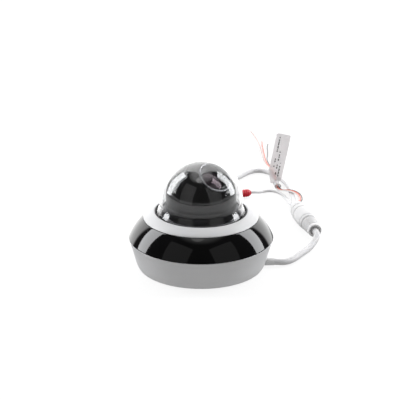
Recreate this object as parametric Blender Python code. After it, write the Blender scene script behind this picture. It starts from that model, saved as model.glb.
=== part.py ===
"""Mini pan-tilt dome security camera with its cable tail. Metres, +Z up.

The camera stands on its base plate, dome upwards. The origin is the centre of
the base plate's underside. The pan axis is +Z through the origin; the tilt
axis crosses it at the centre of the eyeball.
"""

import math

import bmesh
import bpy
import numpy as np
from mathutils import Matrix, Vector

MM = 0.001

# ---------------------------------------------------------------- dimensions, mm
BODY_R = 73.2  # widest radius, at the bottom edge of the dark window
BAND_Z = 31.0  # height of that edge
TRIM_R, TRIM_Z = 57.9, 52.2  # where the window meets the trim ring
DOME_RIM_R = 45.0  # clear dome at the trim ring
DOME_R, DOME_Z = 42.0, 71.1  # outer sphere of the clear dome and its centre
DOME_WALL = 2.0
BALL_R, BALL_Z = 35.4, 73.3  # eyeball and the tilt axis
BALL_WALL = 1.8
CUP_RIM_Z = 67.4
PAN_REST = 46.0  # degrees to the right of the front
LENS_REST = 52.4  # degrees above the horizon
BEZEL_R = 17.3
PAN_TEETH, PAN_MOTOR_TEETH = 66, 18
PAN_PULLEY_R, PAN_MOTOR_PULLEY_R = 22.0, 6.0
PAN_BELT_SPAN = 38.0
TILT_PULLEY_R, TILT_MOTOR_PULLEY_R = 12.0, 4.0
TILT_BELT_SPAN = 25.3
CABLE_D, NET_D, DC_D, WIRE_D = 6.6, 5.6, 3.0, 1.2
GLAND_AZ, GLAND_Z = -4.0, 4.4
SEG = 32  # sides of the large turned parts

for old in list(bpy.data.objects):
    bpy.data.objects.remove(old, do_unlink=True)

SCENE = bpy.context.scene.collection


# ---------------------------------------------------------------- materials
def material(name, color, roughness, metallic=0.0, alpha=1.0, transmission=0.0):
    mat = bpy.data.materials.new(name)
    mat.use_nodes = True
    shader = mat.node_tree.nodes["Principled BSDF"]
    shader.inputs["Base Color"].default_value = (*color, 1.0)
    shader.inputs["Roughness"].default_value = roughness
    shader.inputs["Metallic"].default_value = metallic
    shader.inputs["Alpha"].default_value = alpha
    shader.inputs["Transmission Weight"].default_value = transmission
    mat.diffuse_color = (*color, alpha)
    return mat


WHITE = ("white_plastic", (0.74, 0.73, 0.72), 0.38)
LINER = ("liner_grey", (0.60, 0.61, 0.66), 0.45)
GLOSS_BLACK = ("gloss_black", (0.012, 0.012, 0.013), 0.07)
DARK = ("dark_matte", (0.035, 0.035, 0.038), 0.45)
RUBBER = ("black_rubber", (0.02, 0.02, 0.02), 0.7)
CLEAR = ("clear_dome", (0.97, 0.98, 0.98), 0.02, 0.0, 0.25, 1.0)
GLASS = ("lens_glass", (0.25, 0.20, 0.26), 0.02, 0.0, 0.5, 0.8)
STEEL = ("steel", (0.62, 0.62, 0.63), 0.3, 1.0)
ALU = ("cast_aluminium", (0.68, 0.69, 0.70), 0.45, 1.0)
PCB = ("board_green", (0.02, 0.16, 0.07), 0.4)
JACKET = ("white_jacket", (0.76, 0.75, 0.74), 0.42)
RED = ("red_cap", (0.62, 0.03, 0.05), 0.35)


def mat_of(spec):
    return bpy.data.materials.get(spec[0]) or material(*spec)


# ---------------------------------------------------------------- builders
def place(obj, parent=None, loc=(0, 0, 0), rot=(0, 0, 0)):
    obj.location = [v * MM for v in loc]
    obj.rotation_euler = [math.radians(v) for v in rot]
    if parent is not None:
        obj.parent = parent
    return obj


def from_bmesh(name, bm, spec, smooth=True, parent=None, loc=(0, 0, 0), rot=(0, 0, 0)):
    bmesh.ops.recalc_face_normals(bm, faces=bm.faces)
    bmesh.ops.scale(bm, vec=(MM, MM, MM), verts=bm.verts)
    mesh = bpy.data.meshes.new(name)
    bm.to_mesh(mesh)
    bm.free()
    if smooth:
        mesh.shade_smooth()
        mesh.set_sharp_from_angle(angle=math.radians(35))
    obj = bpy.data.objects.new(name, mesh)
    SCENE.objects.link(obj)
    mesh.materials.append(mat_of(spec))
    return place(obj, parent, loc, rot)


def spun(profile, steps=SEG):
    """A turned solid: the closed (r, z) outline spun about Z. Points at r = 0 close on the axis."""
    bm = bmesh.new()
    ring = [bm.verts.new((r, 0.0, z)) for r, z in profile]
    on_axis = [i for i, (r, z) in enumerate(profile) if r < 1e-9]
    edges = []
    for i in range(len(ring)):
        j = (i + 1) % len(ring)
        if i in on_axis and j in on_axis:
            continue
        edges.append(bm.edges.new((ring[i], ring[j])))
    bmesh.ops.spin(
        bm, geom=ring + edges, cent=(0, 0, 0), axis=(0, 0, 1), dvec=(0, 0, 0),
        angle=math.tau, steps=steps, use_merge=True, use_duplicate=False,
    )
    bmesh.ops.remove_doubles(bm, verts=bm.verts, dist=1e-5)
    return bm


def lathe(name, profile, spec, steps=SEG, **where):
    return from_bmesh(name, spun(profile, steps), spec, **where)


def box_bm(low, high):
    bm = bmesh.new()
    bmesh.ops.create_cube(bm, size=1.0)
    size = Vector(high) - Vector(low)
    bmesh.ops.scale(bm, vec=size, verts=bm.verts)
    bmesh.ops.translate(bm, vec=(Vector(low) + Vector(high)) / 2, verts=bm.verts)
    return bm


def box(name, low, high, spec, **where):
    return from_bmesh(name, box_bm(low, high), spec, smooth=False, **where)


def extruded(outline, low, high, hole=None):
    """A prism along Z of a plane outline, with one optional inner outline of as many points."""
    bm = bmesh.new()
    outer = [[bm.verts.new((x, y, z)) for x, y in outline] for z in (low, high)]
    n = len(outline)
    for i in range(n):
        j = (i + 1) % n
        bm.faces.new((outer[0][i], outer[0][j], outer[1][j], outer[1][i]))
    if hole is None:
        bm.faces.new(outer[0][::-1])
        bm.faces.new(outer[1])
    else:
        inner = [[bm.verts.new((x, y, z)) for x, y in hole] for z in (low, high)]
        for i in range(n):
            j = (i + 1) % n
            bm.faces.new((inner[0][j], inner[0][i], inner[1][i], inner[1][j]))
            bm.faces.new((outer[0][j], outer[0][i], inner[0][i], inner[0][j]))
            bm.faces.new((outer[1][i], outer[1][j], inner[1][j], inner[1][i]))
    return bm


def cylinder_bm(r, low, high, steps=16, x=0.0, y=0.0):
    bm = spun([(0, high), (r, high), (r, low), (0, low)], steps)
    bmesh.ops.translate(bm, vec=(x, y, 0), verts=bm.verts)
    return bm


def helper(name, bm, parent=None, loc=(0, 0, 0), rot=(0, 0, 0)):
    """A tool solid for a Boolean, left out of the model."""
    obj = from_bmesh(name, bm, DARK, parent=parent, loc=loc, rot=rot)
    obj.hide_render = True
    obj.display_type = "WIRE"
    return obj


def cut(obj, tool, operation="DIFFERENCE"):
    mod = obj.modifiers.new(operation.title() + "_" + tool.name, "BOOLEAN")
    mod.operation = operation
    mod.solver = "EXACT"
    mod.object = tool


def add(obj, tool):
    cut(obj, tool, "UNION")


def turned_about(axis, bm):
    """Turns a solid made about Z so that it lies about X or Y."""
    if axis == "X":
        bmesh.ops.rotate(bm, cent=(0, 0, 0), matrix=Matrix.Rotation(math.pi / 2, 3, "Y"), verts=bm.verts)
    elif axis == "Y":
        bmesh.ops.rotate(bm, cent=(0, 0, 0), matrix=Matrix.Rotation(-math.pi / 2, 3, "X"), verts=bm.verts)
    return bm


def polar(r, deg):
    return r * math.cos(math.radians(deg)), r * math.sin(math.radians(deg))


def arc(cx, cz, r, a0, a1, n):
    """n + 1 points (r, z) of an arc from angle a0 to a1, degrees from the +R direction."""
    return [
        (cx + r * math.cos(math.radians(a0 + (a1 - a0) * i / n)), cz + r * math.sin(math.radians(a0 + (a1 - a0) * i / n)))
        for i in range(n + 1)
    ]


def bowed(p, q, bulge, n):
    """n + 1 points from p to q on a shallow arch that stands bulge proud of the chord."""
    (x0, z0), (x1, z1) = p, q
    length = math.hypot(x1 - x0, z1 - z0)
    nx, nz = (z1 - z0) / length, -(x1 - x0) / length
    out = []
    for i in range(n + 1):
        t = i / n
        h = bulge * 4 * t * (1 - t)
        out.append((x0 + (x1 - x0) * t + nx * h, z0 + (z1 - z0) * t + nz * h))
    return out


def smooth_route(points, spacing):
    """A cord's centreline: a smooth curve through the route's points, read off at even spacing."""
    pts = np.array(points, float)
    ext = np.vstack([2 * pts[0] - pts[1], pts, 2 * pts[-1] - pts[-2]])
    fine = []
    for i in range(1, len(ext) - 2):
        p0, p1, p2, p3 = ext[i - 1 : i + 3]
        t1 = np.linalg.norm(p1 - p0) ** 0.5
        t2 = t1 + np.linalg.norm(p2 - p1) ** 0.5
        t3 = t2 + np.linalg.norm(p3 - p2) ** 0.5
        for t in np.linspace(t1, t2, 13)[:-1]:
            a1 = (t1 - t) / t1 * p0 + t / t1 * p1
            a2 = (t2 - t) / (t2 - t1) * p1 + (t - t1) / (t2 - t1) * p2
            a3 = (t3 - t) / (t3 - t2) * p2 + (t - t2) / (t3 - t2) * p3
            b1 = (t2 - t) / t2 * a1 + t / t2 * a2
            b2 = (t3 - t) / (t3 - t1) * a2 + (t - t1) / (t3 - t1) * a3
            fine.append((t2 - t) / (t2 - t1) * b1 + (t - t1) / (t2 - t1) * b2)
    fine.append(pts[-1])
    fine = np.array(fine)
    run = np.concatenate([[0], np.cumsum(np.linalg.norm(np.diff(fine, axis=0), axis=1))])
    count = max(4, round(run[-1] / spacing))
    at = np.linspace(0, run[-1], count + 1)
    return np.stack([np.interp(at, run, fine[:, k]) for k in range(3)], axis=1)


def cord(name, route, diameter, spacing, spec, sides=2):
    curve = bpy.data.curves.new(name, "CURVE")
    curve.dimensions = "3D"
    curve.bevel_depth = diameter / 2 * MM
    curve.bevel_resolution = sides
    curve.use_fill_caps = True
    pts = smooth_route(route, spacing)
    spline = curve.splines.new("POLY")
    spline.points.add(len(pts) - 1)
    for point, co in zip(spline.points, pts):
        point.co = (*(co * MM), 1.0)
    obj = bpy.data.objects.new(name, curve)
    SCENE.objects.link(obj)
    curve.materials.append(mat_of(spec))
    return obj


def along(bm, start, end):
    """Lays a solid made from z = 0 upwards so that it runs from start towards end."""
    start, end = Vector(start), Vector(end)
    turn = Vector((0, 0, 1)).rotation_difference((end - start).normalized()).to_matrix()
    bmesh.ops.rotate(bm, cent=(0, 0, 0), matrix=turn, verts=bm.verts)
    bmesh.ops.translate(bm, vec=start, verts=bm.verts)
    return bm


def belt_outline(r_low, r_high, span, n=14):
    """The outline of an open belt about two pulleys, the larger at the origin and the other at y = span."""
    lean = math.degrees(math.asin((r_low - r_high) / span))
    pts = []
    for i in range(n + 1):
        x, y = polar(r_low, 180 - lean + 0 + (180 + 2 * lean) * i / n + 0)
        pts.append((x, y))
    for i in range(n + 1):
        x, y = polar(r_high, lean + (180 - 2 * lean) * i / n)
        pts.append((x, y + span))
    return pts


# ================================================================ fixed body
# the plate's spokes are turned off the tools' corners, so that each Boolean meets it in a general position
disc = spun([(0, 3.0), (60.9, 3.0), (60.9, 0.6), (60.3, 0), (0, 0)])
bmesh.ops.rotate(disc, cent=(0, 0, 0), matrix=Matrix.Rotation(math.radians(5.0), 3, "Z"), verts=disc.verts)
base = from_bmesh("base_plate", disc, ALU)
for i, az in enumerate((30, 150, 270)):
    x, y = polar(56.0, az)
    cut(base, helper(f"tool_screw_recess_{i}", cylinder_bm(3.3, -1, 2.2, 12, x, y)))
    cut(base, helper(f"tool_screw_hole_{i}", cylinder_bm(1.6, 1, 4, 12, x, y)))
for i, az in enumerate((90, 210, 330)):
    x, y = polar(46.0, az)
    cut(base, helper(f"tool_fixing_hole_{i}", cylinder_bm(2.3, -1, 4, 12, x, y)))
for i, az in enumerate((45, 135, 225, 315)):
    x, y = polar(40.0, az)
    add(base, helper(f"tool_board_post_{i}", cylinder_bm(2.4, 2.5, 6.7, 8, x, y)))

HOUSING_OUT = [(BODY_R, 30.7), (71.8, 27.0), (70.6, 23.0), (69.0, 17.5), (66.5, 7.5), (64.6, 2.6), (63.6, 0.9), (62.6, 0.3)]
HOUSING_IN = [(61.4, 0.3), (61.8, 3.0), (63.9, 7.8), (66.3, 17.9), (68.5, 27.0), (68.9, 31.0)]
housing = lathe("lower_housing", [(72.9, 31.0)] + HOUSING_OUT + HOUSING_IN, WHITE)
for i, az in enumerate((30, 150, 270)):
    x, y = polar(56.0, az)
    ux, uy = polar(1.0, az)
    rib = extruded([(56, -2.6), (65.8, -2.6), (65.8, 2.6), (56, 2.6)], 8.0, 12.4)
    bmesh.ops.rotate(rib, cent=(0, 0, 0), matrix=Matrix.Rotation(math.radians(az), 3, "Z"), verts=rib.verts)
    add(housing, helper(f"tool_boss_rib_{i}", rib))
    add(housing, helper(f"tool_boss_{i}", cylinder_bm(3.6, 3.3, 13.3, 12, x, y)))
    cut(housing, helper(f"tool_boss_bore_{i}", cylinder_bm(1.6, 2.0, 11.5, 12, x, y)))
gx, gy = polar(1.0, GLAND_AZ)
arch = [(4.3 * math.cos(math.radians(a)), GLAND_Z + 4.3 * math.sin(math.radians(a))) for a in range(0, 181, 20)]
notch = extruded([(4.3, -2.0)] + arch + [(-4.3, -2.0)], 58.0, 74.0)
# the prism's Z becomes X, its X becomes Y and its Y becomes Z
bmesh.ops.transform(notch, matrix=Matrix(((0, 0, 1, 0), (1, 0, 0, 0), (0, 1, 0, 0), (0, 0, 0, 1))), verts=notch.verts)
cut(housing, helper("tool_cable_notch", notch, rot=(0, 0, GLAND_AZ)))

outer = bowed((BODY_R, 31.3), (TRIM_R, 52.1), 1.3, 5)
inner = bowed((70.9, 31.3), (55.9, 52.1), 1.0, 4)
lathe("ir_window", outer[::-1] + inner, GLOSS_BLACK)

lathe(
    "trim_ring",
    [(47.0, 58.5), (48.6, 58.3), (51.8, 57.1), (55.4, 55.0), (57.3, 53.6), (58.0, 52.8), (57.9, 52.4),
     (55.8, 52.4), (53.4, 54.2), (49.7, 56.7), (47.0, 56.7)],
    WHITE,
)
lathe("dome_gasket", [(45.4, 58.9), (46.6, 58.9), (46.6, 56.7), (45.4, 56.7)], RUBBER)

# the clear dome: sphere, short flared skirt and seating flange
half = math.degrees(math.asin((65.4 - DOME_Z) / DOME_R))
dome_out = [(0, DOME_Z + DOME_R)] + arc(0, DOME_Z, DOME_R, 90, half, 7)[1:]
dome_out += [(42.5, 62.9), (43.6, 60.4), (DOME_RIM_R, 58.2), (DOME_RIM_R, 56.3), (48.6, 56.3), (48.6, 54.5)]
ri = DOME_R - DOME_WALL
half_in = math.degrees(math.asin((65.4 - DOME_Z) / ri))
dome_in = [(42.6, 54.5), (42.6, 58.2), (41.4, 60.6), (40.4, 63.0)] + arc(0, DOME_Z, ri, half_in, 90, 6)[:-1] + [(0, DOME_Z + ri)]
lathe("dome_cover", dome_out + dome_in, CLEAR)

lathe(
    "inner_liner",
    [(42.2, 57.6), (40.3, 55.4), (38.6, 50.5), (37.2, 45.0), (31.2, 43.4), (31.2, 42.0), (38.6, 43.4), (39.9, 49.8), (42.2, 54.2), (42.3, 54.2)],
    LINER,
)

# chassis: a plate on four legs, a bearing seat and four posts for the infrared board
chassis = lathe(
    "chassis",
    [(19.6, 25.0), (22.0, 25.0), (22.0, 21.8), (53.0, 21.8), (53.0, 20.0), (10.0, 20.0), (10.0, 21.8), (19.6, 21.8)],
    ALU, steps=24,
)
for i, az in enumerate((60, 120, 240, 300)):
    x, y = polar(50.2, az)
    add(chassis, helper(f"tool_leg_{i}", cylinder_bm(2.6, 3.3, 33.7, 8, x, y)))
cut(chassis, helper("tool_motor_hole", cylinder_bm(3.2, 18, 24, 12, 0, PAN_BELT_SPAN)))

board = box("main_board", (-33, -32, 7.0), (33, 32, 8.6), PCB)
for i, (x, y, w, d, h) in enumerate(((-18, -12, 16, 16, 2.2), (14, -14, 12, 10, 1.8), (-14, 16, 10, 14, 2.6), (20, 8, 8, 8, 4.0))):
    add(board, helper(f"tool_chip_{i}", box_bm((x - w / 2, y - d / 2, 8.2), (x + w / 2, y + d / 2, 8.6 + h))))
sink = box("heat_sink", (-26, -20, 11.1), (-10, -4, 13.0), ALU)
for i in range(5):
    y = -19.6 + i * 3.7
    add(sink, helper(f"tool_fin_{i}", box_bm((-25.9, y, 12.6), (-10.1, y + 1.2, 18.5))))

leds = lathe("ir_led_board", [(48.5, 35.4), (63.0, 35.4), (63.0, 34.0), (48.5, 34.0)], PCB, steps=24)
for i in range(12):
    x, y = polar(58.5, 15 + 30 * i)
    add(leds, helper(f"tool_led_{i}", cylinder_bm(2.4, 35.0, 39.0, 8, x, y)))

lathe("pan_motor", [(0, 19.7), (10.0, 19.7), (10.0, 9.6), (0, 9.6)], STEEL, steps=20, loc=(0, PAN_BELT_SPAN, 0))
lathe("pan_bearing_outer", [(16.0, 26.6), (19.2, 26.6), (19.2, 22.1), (16.0, 22.1)], STEEL, steps=24)

belt = extruded(
    belt_outline(PAN_PULLEY_R + 1.5, PAN_MOTOR_PULLEY_R + 1.5, PAN_BELT_SPAN),
    29.9, 33.7,
    belt_outline(PAN_PULLEY_R + 0.5, PAN_MOTOR_PULLEY_R + 0.5, PAN_BELT_SPAN),
)
from_bmesh("pan_belt", belt, RUBBER)

for i, az in enumerate((30, 150, 270)):
    x, y = polar(56.0, az)
    lathe(
        f"base_screw_{i + 1}",
        [(0, 10.5), (1.25, 10.5), (1.25, 1.9), (2.9, 1.9), (2.9, 0.5), (0, 0.5)],
        STEEL, steps=12, loc=(x, y, 0),
    )

gland = turned_about("X", spun([(0, 74.5), (3.5, 74.5), (3.85, 68.5), (4.0, 62.2), (0, 62.2)], 16))
bmesh.ops.translate(gland, vec=(0, 0, GLAND_Z), verts=gland.verts)
from_bmesh("cable_gland", gland, JACKET, rot=(0, 0, GLAND_AZ))

# ================================================================ pan group
pan = bpy.data.objects.new("pan_pivot", None)
SCENE.objects.link(pan)
pan.rotation_euler = (0, 0, math.radians(PAN_REST))

motor_pulley = lathe(
    "pan_motor_pulley",
    [(0, 34.8), (2.4, 34.8), (2.4, 33.6), (PAN_MOTOR_PULLEY_R, 33.6), (PAN_MOTOR_PULLEY_R, 29.8), (2.4, 29.8), (2.4, 28.6), (1.2, 28.6), (1.2, 20.0), (0, 20.0)],
    ALU, steps=16, loc=(0, PAN_BELT_SPAN, 0),
)

lathe(
    "pan_platform",
    [(6.0, 35.6), (26.0, 35.6), (26.0, 34.0), (PAN_PULLEY_R, 34.0), (PAN_PULLEY_R, 29.4), (15.0, 27.4), (11.2, 27.4), (11.2, 22.4), (6.0, 22.4)],
    DARK, steps=28, parent=pan,
)
lathe("pan_bearing_inner", [(11.6, 27.1), (15.4, 27.1), (15.4, 22.4), (11.6, 22.4)], STEEL, steps=24, parent=pan)

cup_out = [(35.95, CUP_RIM_Z), (35.9, 65.5), (35.0, 59.8), (32.9, 53.0), (29.6, 46.0), (27.0, 40.0), (25.6, 35.9)]
cup_in = [(6.0, 35.9), (6.0, 37.1), (24.6, 37.1), (26.1, 41.0), (28.2, 46.0), (31.4, 52.8), (33.8, 59.0), (35.05, 64.5), (35.3, CUP_RIM_Z)]
cup = lathe("pan_cup", cup_out + cup_in, DARK, parent=pan)

for side, sign in (("left", -1), ("right", 1)):
    outline = [(-4.3, 38.5), (4.3, 38.5), (4.3, 66.0)] + [
        (5.4 * math.sin(math.radians(a)), BALL_Z + 5.4 * math.cos(math.radians(a))) for a in (120, 80, 40, 0, -40, -80, -120)
    ] + [(-4.3, 66.0)]
    arm = extruded(outline, 22.6 if sign > 0 else -24.4, 24.4 if sign > 0 else -22.6)
    # the prism's Z becomes X, its X becomes Y and its Y becomes Z
    bmesh.ops.transform(arm, matrix=Matrix(((0, 0, 1, 0), (1, 0, 0, 0), (0, 1, 0, 0), (0, 0, 0, 1))), verts=arm.verts)
    yoke = from_bmesh(f"yoke_{side}", arm, STEEL, smooth=False, parent=pan)
    bore = turned_about("X", cylinder_bm(3.4, 20, 27, 12) if sign > 0 else cylinder_bm(3.4, -27, -20, 12))
    bmesh.ops.translate(bore, vec=(0, 0, BALL_Z), verts=bore.verts)
    cut(yoke, helper(f"tool_yoke_bore_{side}", bore, parent=pan))
    low, high = (14.0, 24.4) if sign > 0 else (-24.4, -14.0)
    add(yoke, helper(f"tool_yoke_foot_{side}", box_bm((low, -4.3, 37.5), (high, 4.3, 39.0)), parent=pan))

motor_z = BALL_Z - TILT_BELT_SPAN
tilt_motor = turned_about("X", spun([(0, 16.6), (4.2, 16.6), (4.2, 1.0), (0, 1.0)], 16))
bmesh.ops.translate(tilt_motor, vec=(0, 0, motor_z), verts=tilt_motor.verts)
from_bmesh("tilt_motor", tilt_motor, STEEL, parent=pan)

bracket = box("tilt_motor_bracket", (16.9, -4.0, 39.4), (18.0, 4.0, 52.6), STEEL, parent=pan)
hole = turned_about("X", cylinder_bm(1.6, 15, 20, 12))
bmesh.ops.translate(hole, vec=(0, 0, motor_z), verts=hole.verts)
cut(bracket, helper("tool_bracket_hole", hole, parent=pan))

tilt_belt = extruded(
    belt_outline(TILT_PULLEY_R + 1.0, TILT_MOTOR_PULLEY_R + 1.0, TILT_BELT_SPAN),
    18.9, 21.5,
    belt_outline(TILT_PULLEY_R + 0.45, TILT_MOTOR_PULLEY_R + 0.45, TILT_BELT_SPAN),
)
# the prism's Z becomes X and its Y points down from the tilt axis
bmesh.ops.transform(tilt_belt, matrix=Matrix(((0, 0, 1, 0), (1, 0, 0, 0), (0, -1, 0, BALL_Z), (0, 0, 0, 1))), verts=tilt_belt.verts)
from_bmesh("tilt_belt", tilt_belt, RUBBER, parent=pan)

small = bpy.data.objects.new("tilt_motor_pivot", None)
SCENE.objects.link(small)
place(small, pan, loc=(0, 0, motor_z))
from_bmesh(
    "tilt_motor_pulley",
    turned_about("X", spun([(0, 21.8), (TILT_MOTOR_PULLEY_R, 21.8), (TILT_MOTOR_PULLEY_R, 18.6), (1.2, 18.6), (1.2, 16.9), (0, 16.9)], 16)),
    ALU, parent=small,
)

# ================================================================ tilt group
# In this frame +Z is the optical axis and +X the tilt axis.
tilt = bpy.data.objects.new("tilt_pivot", None)
SCENE.objects.link(tilt)
place(tilt, pan, loc=(0, 0, BALL_Z), rot=(90 - LENS_REST, 0, 0))

INNER_R = BALL_R - BALL_WALL
SPLIT = 0.15  # half of the parting line between the two shells
open_r = BEZEL_R + 0.35
a_top = math.degrees(math.acos(open_r / BALL_R))
a_in = math.degrees(math.acos(open_r / INNER_R))
b_out = math.degrees(math.asin(SPLIT / BALL_R))
b_in = math.degrees(math.asin(SPLIT / INNER_R))
lathe("ball_shell_front", arc(0, 0, BALL_R, a_top, b_out, 5) + arc(0, 0, INNER_R, b_in, a_in, 4), GLOSS_BLACK, parent=tilt)
rear = lathe(
    "ball_shell_rear",
    arc(0, 0, BALL_R, -b_out, -90, 7)[:-1] + [(0, -BALL_R), (0, -INNER_R)] + arc(0, 0, INNER_R, -90, -b_in, 5)[1:],
    GLOSS_BLACK, parent=tilt,
)
# the way for the yoke arms through the underside: a sector about the tilt axis
OPEN_FROM, OPEN_TO = 99.5, 192.5
sector = [(0.0, 0.0)] + [
    (-60 * math.sin(math.radians(a)), 60 * math.cos(math.radians(a))) for a in np.linspace(OPEN_FROM, OPEN_TO, 5)
]
slot = extruded(sector, -27.0, 27.0)
bmesh.ops.transform(slot, matrix=Matrix(((0, 0, 1, 0), (1, 0, 0, 0), (0, 1, 0, 0), (0, 0, 0, 1))), verts=slot.verts)
cut(rear, helper("tool_ball_slot", slot, parent=tilt))

lathe(
    "lens_bezel",
    [(15.3, 31.0), (16.3, 31.9), (16.9, 31.8), (BEZEL_R, 31.2), (BEZEL_R, 28.4), (15.3, 28.4)],
    GLOSS_BLACK, steps=24, parent=tilt,
)
lathe(
    "lens_baffle",
    [(12.0, 28.0), (13.0, 28.0), (13.0, 29.0), (14.0, 29.0), (14.0, 30.0), (15.0, 30.0), (15.0, 26.6), (12.0, 26.6)],
    DARK, steps=24, parent=tilt,
)
lathe("lens_front_glass", [(0, 27.9), (6.0, 27.5), (11.4, 26.0), (11.4, 24.8), (0, 24.8)], GLASS, steps=24, parent=tilt)
lathe("lens_barrel", [(11.8, 26.3), (13.6, 26.3), (13.6, 18.3), (0, 18.3), (0, 20.0), (11.8, 20.0)], DARK, steps=24, parent=tilt)
box("camera_block", (-14.8, -11.5, -13.0), (14.8, 11.5, 18.0), DARK, parent=tilt)
box("sensor_board", (-12.5, -10.5, -14.9), (12.5, 10.5, -13.3), PCB, parent=tilt)
from_bmesh(
    "tilt_pulley",
    turned_about("X", spun([(3.3, 21.7), (TILT_PULLEY_R, 21.7), (TILT_PULLEY_R, 18.7), (3.3, 18.7)], 24)),
    ALU, parent=tilt,
)
pin = [(0, 28.6), (5.5, 28.6), (5.5, 26.8), (3.0, 26.8), (3.0, 15.1), (0, 15.1)]
from_bmesh("trunnion_right", turned_about("X", spun(pin, 16)), STEEL, parent=tilt)
from_bmesh("trunnion_left", turned_about("X", spun([(r, -z) for r, z in pin][::-1], 16)), STEEL, parent=tilt)

# ================================================================ cable tail
# Everything here lies on the floor behind and to the right of the camera.
g0 = Vector((gx * 75.0, gy * 75.0, GLAND_Z))
MAIN = [tuple(g0), (79.0, -5.5, 4.3), (84.4, -4.4, 3.9), (90.2, -0.6, 3.6), (96.6, 7.0, 3.5), (102.5, 16.5, 3.5),
        (108.0, 25.0, 3.5), (113.0, 33.5, 3.8), (117.4, 41.0, 5.4), (120.8, 48.5, 8.0), (122.0, 56.2, 10.2), (121.02, 61.1, 10.7)]
cord("main_cable", MAIN, CABLE_D, 6.5, JACKET, 3)

J0, J1 = Vector((120.9, 61.6, 10.7)), Vector((105.2, 134.5, 10.7))
JL = (J1 - J0).length
junction = spun(
    [(0, JL), (6.2, JL), (7.2, JL - 3), (9.4, JL - 10), (10.3, JL - 20), (10.4, JL - 34), (9.9, JL - 44), (8.8, JL - 54),
     (7.6, 6.0), (7.1, 0), (0, 0)], 16,
)
from_bmesh("cable_junction", along(junction, J0, J1), JACKET)
U = (J1 - J0).normalized()
SIDE = Vector((U.y, -U.x, 0))


def off(side, up, out=0.4):
    return tuple(J1 + U * out + SIDE * side + Vector((0, 0, up)))


NET = [off(-0.2, -1.2), off(-0.2, -1.4, 5.5), (104.4, 150.0, 7.8), (104.8, 169.0, 5.2), (104.6, 189.0, 3.3), (103.2, 208.0, 2.95), (100.6, 224.0, 2.9),
       (96.4, 239.0, 2.9), (90.8, 251.6, 2.9), (84.8, 261.4, 2.9), (78.2, 268.4, 2.9), (70.8, 271.6, 3.0), (63.2, 270.2, 3.0),
       (56.2, 264.2, 3.0), (49.4, 255.0, 3.0), (42.2, 244.6, 3.2), (33.5, 234.8, 5.0), (25.5, 229.4, 8.4), (21.0, 228.55, 9.35), (16.9, 228.5, 9.4)]
cord("network_lead", NET, NET_D, 9.0, JACKET, 2)
jack = box_bm((-36.0, 218.1, 0.35), (14.0, 238.9, 18.4))
jack = from_bmesh("network_jack", jack, JACKET, smooth=False)
add(jack, helper("tool_jack_boot", along(spun([(0, 2.4), (4.2, 2.4), (6.5, 0), (0, 0)][::1], 12), (13.9, 228.5, 9.4), (20, 228.5, 9.4))))
cut(jack, helper("tool_jack_socket", box_bm((-40.0, 222.6, 5.2), (-22.0, 234.4, 13.4))))

DC = [off(-4.4, 1.0), off(-4.4, 0.7, 5.0), (99.3, 152.0, 7.6), (99.3, 167.0, 3.8), (97.8, 181.0, 1.7), (94.2, 193.0, 1.6), (88.2, 202.4, 1.6),
      (80.4, 206.6, 1.6), (72.6, 204.4, 1.7), (66.8, 198.2, 3.0), (61.6, 194.5, 4.5), (57.6, 192.86, 4.8)]
cord("power_lead", DC, DC_D, 7.0, JACKET, 2)
C0, C1 = Vector((57.2, 192.7, 4.8)), Vector((41.8, 187.1, 4.8))
CL = (C1 - C0).length
from_bmesh("power_cap", along(spun([(0, CL), (4.4, CL), (4.4, 4.0), (3.2, 1.4), (2.2, 0), (0, 0)], 16), C0, C1), RED)
CU = (C1 - C0).normalized()
from_bmesh("power_jack", along(spun([(0, 11.0), (1.2, 11.0), (1.2, 4.0), (2.9, 4.0), (2.9, 11.0), (4.1, 11.0), (4.1, 0), (0, 0)], 16), C1 + CU * 0.4, C1 + CU * 20), RUBBER)

TRUNK = [(110.6, 153.0, 10.6), (111.4, 167.0, 9.4), (109.6, 180.0, 8.3), (104.6, 189.6, 7.6), (98.8, 196.4, 6.2), (94.0, 203.6, 3.4), (90.6, 212.0, 1.5),
         (88.4, 223.0, 1.2), (87.6, 236.0, 2.4), (87.0, 247.0, 6.0), (85.6, 258.0, 7.6), (84.0, 270.0, 7.0), (82.0, 286.0, 3.8), (80.6, 300.0, 1.6)]
WIRES = {
    "signal_wire_red": (3.6, 1.5, [(79.6, 318.0, 0.95), (79.0, 336.0, 0.9), (78.4, 354.0, 0.9), (77.8, 371.0, 0.9), (78.2, 387.0, 0.9)], (0.80, 0.16, 0.08)),
    "signal_wire_black": (4.3, -0.2, [(81.6, 318.0, 0.95), (83.0, 334.0, 0.9), (83.8, 350.0, 0.9), (84.0, 364.0, 0.9), (85.4, 377.0, 0.9)], (0.03, 0.03, 0.03)),
    "signal_wire_pink": (2.9, 3.0, [(77.8, 318.0, 0.95), (76.8, 338.0, 0.9), (75.6, 360.0, 0.9), (73.4, 384.0, 0.9), (70.0, 408.0, 0.9), (65.4, 429.0, 0.9)], (0.78, 0.62, 0.58)),
    "signal_wire_white": (1.6, 4.3, [(75.8, 318.0, 0.95), (74.2, 334.0, 0.9), (73.0, 350.0, 0.9), (72.2, 364.0, 0.9), (72.4, 376.0, 0.9)], (0.80, 0.79, 0.78)),
}
LANES = {"signal_wire_red": 0.8, "signal_wire_black": 2.4, "signal_wire_pink": -0.8, "signal_wire_white": -2.4}
trunk = np.array(TRUNK)
for name, (side, up, tail, color) in WIRES.items():
    head = np.gradient(trunk[:, :2], axis=0)
    head /= np.linalg.norm(head, axis=1)[:, None]
    lane = trunk.copy()
    lane[:, 0] += head[:, 1] * LANES[name]
    lane[:, 1] -= head[:, 0] * LANES[name]
    start = off(side, up)
    cord(name, [start, off(side, up, 4.0)] + [tuple(p) for p in lane] + tail, WIRE_D, 10.5, (name, color, 0.4), 2)

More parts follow.
